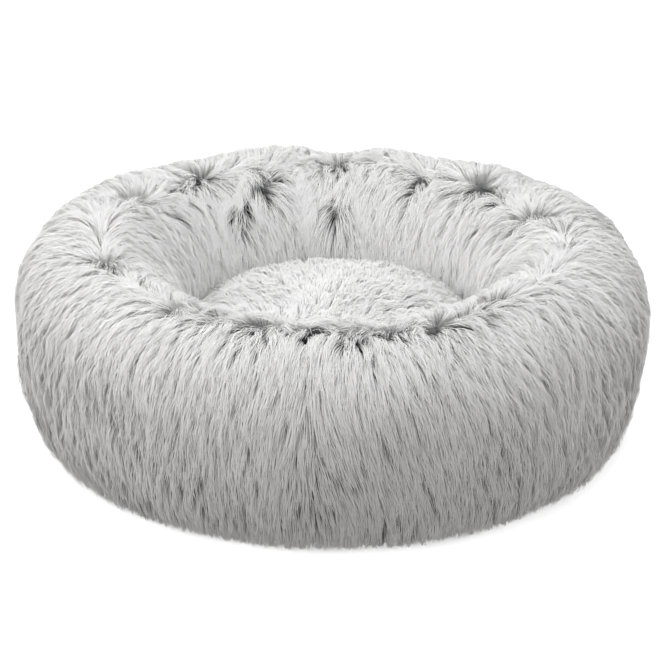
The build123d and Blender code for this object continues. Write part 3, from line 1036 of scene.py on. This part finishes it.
        seams = bump(from_front * self.outer, 6 * MM) + bump(from_back * self.outer, 6 * MM)
        seams = np.clip(seams * outside * (distance > 25 * MM), 0, 1)
        ruffle = 1 + 0.25 * soft_noise(self.places, 20.0, 33.0)
        stand = 17 * outside + 16 * inside + 5 * shoulder - 3 * fan
        reach = 44 * outside + 38 * inside - 12 * crest * (1 - fan) - 14 * heart
        cover = 0.84 + 0.46 * shoulder + 0.04 * inside - 0.24 * fan - 0.35 * seams
        cover = np.where((outside < 0.5) & (level < 85 * MM), cover * 0.55, cover)
        # frost is how much of each blade is pale: on the shoulders it stands for dark roots hidden under
        # dense pile; in the well it is partly that and partly painted light that brightens the shaded well
        # wall
        frost = np.minimum(0.03 + 0.66 * shoulder + 0.50 * inside, 0.70) * (1 - fan)
        # under marks outer pile that faces down near the hem, which is given painted light below
        under = outside * np.clip(-2.5 * (coat.up[..., 2] + 0.45), 0, 1)
        tilt = 0.45 * inside - 0.15 * outside * np.clip(1 - level / (110 * MM), 0, 1)
        return {
            "flow": flow,
            "stand": stand * MM * ruffle,
            "reach": reach * MM * ruffle,
            "cover": np.clip(cover, 0.2, 1.32),
            "hang": outside * np.clip(1 - (level - 15 * MM) / (60 * MM), 0, 1),
            "stray": 0.16 + 0.04 * shoulder + 0.30 * crest * (1 - fan) + 0.45 * heart,
            # painted light: pile that faces down at the hem is made pale, where little lamp light reaches
            "frost": np.maximum(frost, 0.75 * under),
            "gather": np.clip(0.80 - 0.70 * shoulder - 0.46 * inside + 0.35 * fan, 0.08, 0.8),
            "thin": 1.0 - 0.36 * shoulder - 0.18 * inside,
            "shine": unit(coat.up + np.array([0.0, 0.0, 1.0]) * tilt[..., None]),
        }

    def build(self, tree: Tree, fur: Material) -> None:
        """Makes the shell and grows both coats on it."""
        self.shell()
        self.coat = Coat(self.places)
        values = self.fields()
        ground = self.coat.ground("rim_ground", values)
        settle(self.piece, "bed", "frosted_fur", finish=BACKING, fill=0.8)
        outer = Pile(tree, fur, ground, density=6.2e5, lock_spacing=4.5 * MM, width=0.9 * MM)
        inner = Pile(tree, fur, ground, density=5.3e5, lock_spacing=5.5 * MM, width=0.95 * MM)
        seam = round(BACK_SEAM / math.tau * self.columns)
        coats = (
            ("outer", outer, slice(0, self.crest_row + 1), 0, ("back", "back_side", "front_side", "front")),
            ("inner", inner, slice(self.crest_row, None), 50, ("back", "front")),
        )
        for coat, pile, rows, shift, parts in coats:
            width = self.columns // 2 // len(parts)
            for half, turn in (("left", 1), ("right", -1)):
                for k, part in enumerate(parts):
                    start = k * width if turn > 0 else -(k + 1) * width
                    columns = (seam + start + np.arange(width + 1)) % self.columns
                    patch = self.coat.mesh(rows, columns, values)
                    piece = pile.grow(f"{coat}_fur_{half}_{part}", patch, SEED + 10 * k + 3 * turn + shift)
                    settle(piece, "bed", "frosted_fur", f"rim_{coat}_fur_{half}")
        bpy.data.objects.remove(ground)
        self.stuffing()

    def inset(self, depth: float, floor: float, step: int) -> np.ndarray:
        """The shell's grid moved inwards and kept above a level."""
        places = (self.places - self.coat.up * depth)[::step, ::step]
        places[..., 2] = np.maximum(places[..., 2], self.bottom + floor)
        return places

    def stuffing(self) -> None:
        """Makes the bag and the fibre inside the shell, and the tape in the crest seam."""
        bag = revolved("rim_bag", self.inset(1.7 * MM, 0.3 * MM, 2))
        settle(bag, "bed", "bag_cloth", "rim_liner", finish=BAG_CLOTH, fill=0.8)
        fibre = revolved("rim_fibre", self.inset(4.0 * MM, 2 * MM, 3))
        settle(fibre, "bed", "fibre_filling", "rim_filling", finish=FIBRE, fill=0.8)
        line = self.places[self.crest_row]
        across = unit(line * np.array([1.0, 1.0, 0.0]))
        up = np.array([0.0, 0.0, 1.0])
        corners = [(-1.2, 0.1), (1.2, 0.1), (0.9, 1.6), (-0.9, 1.6)]
        tape = revolved("crest_tape", np.stack([line + (across * x + up * z) * MM for x, z in corners]))
        settle(tape, "bed", "seam_tape", "crest_seam_tape", finish=TAPE)


# ------------------------------------------------------------------------------ cushion
@dataclass
class Cushion:
    """The lift-out cushion: a domed fur top over a plain underside.

    Attributes:
        columns: Points round the cushion.
        rows: Rings of the dome.
        side_rows: Rings of the underside's wall.
        setback: Room for the pile between the dome's cloth and the cushion's side.
        clearance: Height of the underside's cloth over the cushion's lowest point.
    """

    columns: int = 160
    rows: int = 26
    side_rows: int = 18
    setback: float = 9 * MM
    clearance: float = 0.4 * MM

    def __post_init__(self) -> None:
        """Takes the cushion's sizes from the frame."""
        low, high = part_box("cushion_underside")
        self.radius = high[0]
        self.seam = high[2]
        self.bottom = low[2]
        self.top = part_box("cushion_liner")[1][2]
        self.side = self.radius - self.setback
        self.azimuth = np.linspace(0, math.tau, self.columns, endpoint=False)

    def build(self, tree: Tree, fur: Material) -> None:
        """Makes the dome, its pile and the underside."""
        side = self.side
        line = bezier(
            (6 * MM, self.top), (side * 0.70, self.top), (side, ease(self.seam, self.top, 0.86)),
            (side, self.seam), count=self.rows,
        )
        radius = line[:, 0][:, None]
        places = rings(line, self.azimuth)
        places[..., 2] += soft_noise(places, 17.0, 9.4) * 5 * MM * (1 - (radius / side) ** 4)
        faces = ring_quads(places.shape)[:, [0, 3, 2, 1]].tolist() + [list(range(self.columns))]
        piece = new_piece("cushion_backing", plain_mesh("cushion_backing", places, faces))
        held = np.zeros(places.shape[:2])
        held[-2:] = 1.0
        self.places = swell(piece, held, 7 * MM)
        settle(piece, "cushion", "frosted_fur", finish=BACKING, fill=0.7)
        coat = Coat(self.places[:, ::-1])
        spin = soft_noise(coat.places, 9.0, 40.0) * 2.2 + 1.0
        spread = (np.clip(radius / side, 0, 1) ** 2)[..., None]
        ruffle = 1 + 0.25 * soft_noise(coat.places, 24.0, 15.0)
        values = {
            "flow": coat.flat(circle(spin) * (1 - spread) + coat.along * spread),
            "stand": 20 * MM * ruffle,
            "reach": 20 * MM * ruffle,
            "cover": np.where(coat.places[..., 2] < 80 * MM, 0.5, 1.0),
            "hang": 0.0,
            "stray": 0.7,
            "frost": 0.70,
            "gather": 0.12,
            "thin": 0.85,
            "shine": coat.up,
        }
        ground = coat.ground("cushion_ground", values)
        pile = Pile(tree, fur, ground, density=5.8e5, lock_spacing=7 * MM, width=1.0 * MM)
        top = pile.grow("cushion_fur", ground.data.copy(), SEED + 90)
        settle(top, "cushion", "frosted_fur", "cushion_fur_top")
        bpy.data.objects.remove(ground)
        self.underside()

    def underside(self) -> None:
        """Makes the gathered cloth under the dome, the bag and the fibre."""
        side, azimuth, rows = self.side, self.azimuth, self.side_rows
        flat, base = self.radius - 30 * MM, self.bottom + self.clearance
        section = bezier(
            (side, self.seam), (side, ease(self.seam, self.bottom, 0.75)), (ease(flat, side, 0.85), base),
            (flat, base), count=rows,
        )
        inner = np.linspace((flat - 12 * MM, base), (5 * MM, base + 0.1 * MM), 7)
        places = rings(np.vstack([section, inner]), azimuth)
        places[0] = self.places[-1]
        share = np.linspace(0, 1, rows)[:, None]
        gather = np.sin(azimuth * 46 + 2 * np.sin(azimuth * 5))[None] * share * (1 - share) ** 2 * 9 * MM
        places[:rows] += circle(azimuth)[None] * gather[..., None] * 0.6
        places[rows:, :, 2] += np.abs(soft_noise(places[rows:], 30.0, 61.0)) * 0.8 * MM
        cloth = revolved("cushion_base", places, last=True)
        settle(cloth, "cushion", "lining_cloth", "cushion_underside", finish=LINING, fill=0.7)
        whole = np.concatenate([self.places[:-1], places])
        middle = np.array([0.0, 0.0, self.seam])
        for name, slot, node, depth, finish in (
            ("cushion_bag", "bag_cloth", "cushion_liner", 2.0 * MM, BAG_CLOTH),
            ("cushion_fibre", "fibre_filling", "cushion_filling", 4.5 * MM, FIBRE),
        ):
            shrunk = middle + (whole - middle) * (1 - depth / (0.5 * self.radius))
            piece = revolved(name, shrunk[:, ::2], first=True, last=True)
            settle(piece, "cushion", slot, node, finish=finish, fill=0.7)


# ------------------------------------------------------------------------------ base and zip
@dataclass
class Base:
    """Everything under the ring: non-slip panel, foam pad, lining, label and zip.

    Attributes:
        zip_start: Azimuth of the first tooth.
        zip_sweep: Angle that the teeth take up.
        zip_radius: Radius of the line where the two rows of teeth meet.
        row_apart: Half the distance between the middles of the two rows.
        groove: Azimuth where the zip's groove starts, the same at both ends.
        dot_pitch: Distance between grip dots.
        tooth_pitch: Distance between teeth of one row.
    """

    zip_start: float = math.radians(20.0)
    zip_sweep: float = math.radians(142.8)
    zip_radius: float = 226.5 * MM
    row_apart: float = 1.53 * MM
    groove: float = math.radians(6.0)
    dot_pitch: float = 9 * MM
    tooth_pitch: float = 2.1 * MM

    def __post_init__(self) -> None:
        """Takes the radii and levels from the frame."""
        self.front_radius = -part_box("base_panel")[0][1]
        self.back_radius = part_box("base_panel")[1][1]
        self.panel_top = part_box("base_panel")[1][2]
        self.pad_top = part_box("base_pad")[1][2]
        self.lining_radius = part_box("floor_lining")[1][0]
        self.lining_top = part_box("floor_lining")[1][2]
        self.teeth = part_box("zip_teeth_outer")

    def disc(self, name: str, low: float, high: float, rounding: float, seed: float) -> Piece:
        """A sewn disc that is cut back where the zip runs."""
        azimuth = np.linspace(0, math.tau, 360, endpoint=False)
        behind = (azimuth > self.groove) & (azimuth < math.pi - self.groove)
        edge = np.where(behind, self.back_radius, self.front_radius) - 0.3 * MM
        shares = (0.02, 0.3, 0.6, 0.85)
        steps = [(edge * share, high) for share in shares]
        steps += [(edge - rounding, high), (edge, (low + high) / 2), (edge - rounding, low)]
        steps += [(edge * share, low) for share in shares[::-1]]
        out = circle(azimuth)
        places = np.stack([out * radius[:, None] + np.array([0, 0, level]) for radius, level in steps])
        places[1:-1, :, 2] += soft_noise(places[1:-1], 25.0, seed) * 0.25 * MM
        places[..., 2] = np.clip(places[..., 2], low, high)
        return revolved(name, places, first=True, last=True)

    def build(self) -> None:
        """Makes every piece under the ring."""
        panel = self.disc("base_cloth", 0.5 * MM, self.panel_top, 0.2 * MM, 4.0)
        settle(panel, "bed", "nonslip_cloth", "base_panel", finish=BASE_CLOTH)
        pad = self.disc("foam_pad", self.panel_top + 0.1 * MM, self.pad_top - 0.1 * MM, 2 * MM, 14.0)
        settle(pad, "bed", "pad_foam", "base_pad", finish=FOAM, fill=1.0)
        low, high = self.pad_top, self.lining_top
        radii = np.array([4, 30, 60, 90, 115, 135, 148]) * MM
        top = [(radius, high) for radius in radii] + [(self.lining_radius - 0.3 * MM, (low + high) / 2)]
        under = [(radius, low + 0.1 * MM) for radius in radii[::-1]]
        places = rings(np.array(top + under), np.linspace(0, math.tau, 180, endpoint=False))
        places[: len(radii), :, 2] -= np.abs(soft_noise(places[: len(radii)], 24.0, 91.0)) * 0.5 * MM
        lining = revolved("well_lining", places, first=True, last=True)
        settle(lining, "bed", "lining_cloth", "floor_lining", finish=LINING)
        self.label()
        self.repeats()
        finishes = {
            ZIP_TAPE: ("zip_tape_inner", "zip_tape_outer"),
            ZIP_METAL: ("zip_top_stops", "zip_bottom_stop", "zip_slider", "zip_pull"),
        }
        for finish, names in finishes.items():
            material = finish.material()
            for name in names:
                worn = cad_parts[name].data.materials
                worn.clear()
                worn.append(material)

    def label(self) -> None:
        """Makes the folded blank label sewn into the back seam."""
        low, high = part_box("care_label")
        out = circle(np.array(BACK_SEAM))
        aside = np.array([-out[1], out[0], 0.0])
        near = math.hypot(low[0], low[1]) + 0.5 * MM
        long = np.linspace(0, 1, 12)
        gap = 0.10 * MM + 0.10 * MM * np.sin(long * math.pi)
        sheets = []
        for face in (-1, 1):
            grid = []
            for z in np.linspace(low[2] + 0.5 * MM, high[2] - 0.5 * MM, 10):
                curl = 0.6 * MM * np.sin(long * 2.6 + z * 70) * long
                flat = out * (near + long * 16.5 * MM)[:, None] + aside * (curl + face * gap)[:, None]
                grid.append(flat + np.array([0, 0, z]))
            sheets.append(np.stack(grid))
        loop = np.concatenate([sheets[0], sheets[1][:, ::-1]], 1)
        label = revolved("blank_label", loop, first=True, last=True)
        settle(label, "bed", "label_cloth", "care_label", finish=LABEL)

    def repeats(self) -> None:
        """Makes the grip dots, the stitches and the two rows of teeth."""
        rows, dots = row_tree(), dot_tree()
        lump = bpy.data.meshes.new("dot")
        bm = bmesh.new()
        size = {"radius1": 1.0 * MM, "radius2": 1.9 * MM, "depth": 0.6 * MM}
        bmesh.ops.create_cone(bm, cap_ends=True, segments=8, **size)
        bmesh.ops.translate(bm, verts=bm.verts, vec=(0, 0, 0.3 * MM))
        bm.to_mesh(lump)
        bm.free()
        grip = pattern(
            "grip_dots", lump, dots, Radius=self.front_radius - 9 * MM,
            Back_Radius=self.back_radius - 9 * MM, Pitch=self.dot_pitch, Material=GRIP.material(),
        )
        settle(grip, "bed", "nonslip_cloth")
        stitch = block((3.0 * MM, 0.55 * MM, 0.4 * MM), 0.12 * MM)
        hem = pattern(
            "zip_stitches", stitch, rows, Radius=self.back_radius - 3.5 * MM, Start=self.groove + 0.02,
            Sweep=math.pi - 2 * self.groove - 0.04, Pitch=4.2 * MM, Level=0.42 * MM,
            Material=TAPE.material(),
        )
        settle(hem, "bed", "nonslip_cloth")
        steel = TEETH.material()
        tooth = block((1.35 * MM, 2.9 * MM, 2.4 * MM), 0.3 * MM, 0.86)
        step = self.tooth_pitch / self.zip_radius
        middle = (self.teeth[0][2] + self.teeth[1][2]) / 2
        for name, side, shift in (("inner", -1, 0.0), ("outer", 1, 0.5)):
            row = pattern(
                "teeth_" + name, tooth.copy(), rows, Radius=self.zip_radius + side * self.row_apart,
                Start=self.zip_start + (0.8 + shift * 0.95) * step, Sweep=self.zip_sweep - 2.4 * step,
                Pitch=self.tooth_pitch, Level=middle, Material=steel,
            )
            settle(row, "bed", "zip_teeth", "zip_teeth_" + name)


# ------------------------------------------------------------------------------ stage
@dataclass
class Stage:
    """Floor, lights and camera."""

    distance: float = 2.1
    elevation: float = math.radians(24.0)
    lens: float = 120.7
    aim_height: float = 82 * MM

    def floor(self) -> None:
        """Makes a pale floor that is clear from below."""
        mesh = bpy.data.meshes.new("floor")
        bm = bmesh.new()
        bmesh.ops.create_circle(bm, cap_ends=True, segments=96, radius=9.0)
        bm.to_mesh(mesh)
        bm.free()
        floor = new_piece("floor", mesh)
        material, graph, shader = Finish("floor", 0.9).start()
        shader.inputs["Base Color"].default_value = grey(0.92)
        shader.inputs["Emission Color"].default_value = grey(1.0)
        shader.inputs["Emission Strength"].default_value = 0.5
        behind = graph.node("ShaderNodeNewGeometry").outputs["Backfacing"]
        clear = graph.node("ShaderNodeBsdfTransparent")
        inputs = {0: behind, 1: shader.outputs[0], 2: clear.outputs[0]}
        either = graph.node("ShaderNodeMixShader", inputs=inputs)
        graph.fill(material.node_tree.nodes["Material Output"].inputs[0], either.outputs[0])
        mesh.materials.append(material)
        floor.visible_diffuse = False
        floor.visible_shadow = False

    def build(self) -> None:
        """Makes the floor, the lights and the camera."""
        self.floor()
        world = bpy.data.worlds.new("studio")
        world.use_nodes = True
        graph = Graph(world.node_tree)
        height = graph.split(graph.node("ShaderNodeTexCoord").outputs["Generated"])[2] * 0.5 + 0.5
        shades = [
            (0.0, grey(0.50)), (0.25, grey(0.36, 0.03)), (0.48, grey(0.40, 0.02)), (0.62, grey(0.52)),
            (1.0, grey(0.74)),
        ]
        graph.fill(world.node_tree.nodes["Background"].inputs[0], graph.ramp(height, shades))
        scene = bpy.context.scene
        scene.world = world
        self.light("top", (-0.3, 0.2, 2.6), 2.6, 35.0)
        self.light("front", (-0.4, -1.5, 2.5), 1.8, 11.0)
        self.light("key", (-2.2, -0.7, 1.3), 1.6, 22.0)
        self.light("fill", (2.2, -0.3, 1.6), 1.6, 10.0)
        camera = bpy.data.objects.new("camera", bpy.data.cameras.new("camera"))
        scene.collection.objects.link(camera)
        camera.data.lens = self.lens
        camera.data.clip_start = 0.05
        camera.data.clip_end = 50
        back = Vector((0, -math.cos(self.elevation), math.sin(self.elevation)))
        camera.location = Vector((0, 0, self.aim_height)) + back * self.distance
        camera.rotation_euler = (-back).to_track_quat("-Z", "Y").to_euler()
        scene.camera = camera
        scene.view_settings.view_transform = "Standard"

    def light(self, name: str, place: tuple[float, float, float], size: float, power: float) -> None:
        """Adds one soft lamp that faces the bed."""
        data = bpy.data.lights.new(name, "AREA")
        data.size = size
        data.energy = power
        lamp = bpy.data.objects.new(name, data)
        bpy.context.scene.collection.objects.link(lamp)
        lamp.location = place
        lamp.rotation_euler = (Vector((0, 0, 0.08)) - Vector(place)).to_track_quat("-Z", "Y").to_euler()


def main() -> None:
    """Builds every piece in order."""
    logging.basicConfig(level=logging.INFO, format="%(name)s %(message)s")
    tree = pile_tree()
    fur = FUR.material()
    Rim().build(tree, fur)
    Cushion().build(tree, fur)
    Base().build()
    Stage().build()


if __name__ == "__main__":
    main()
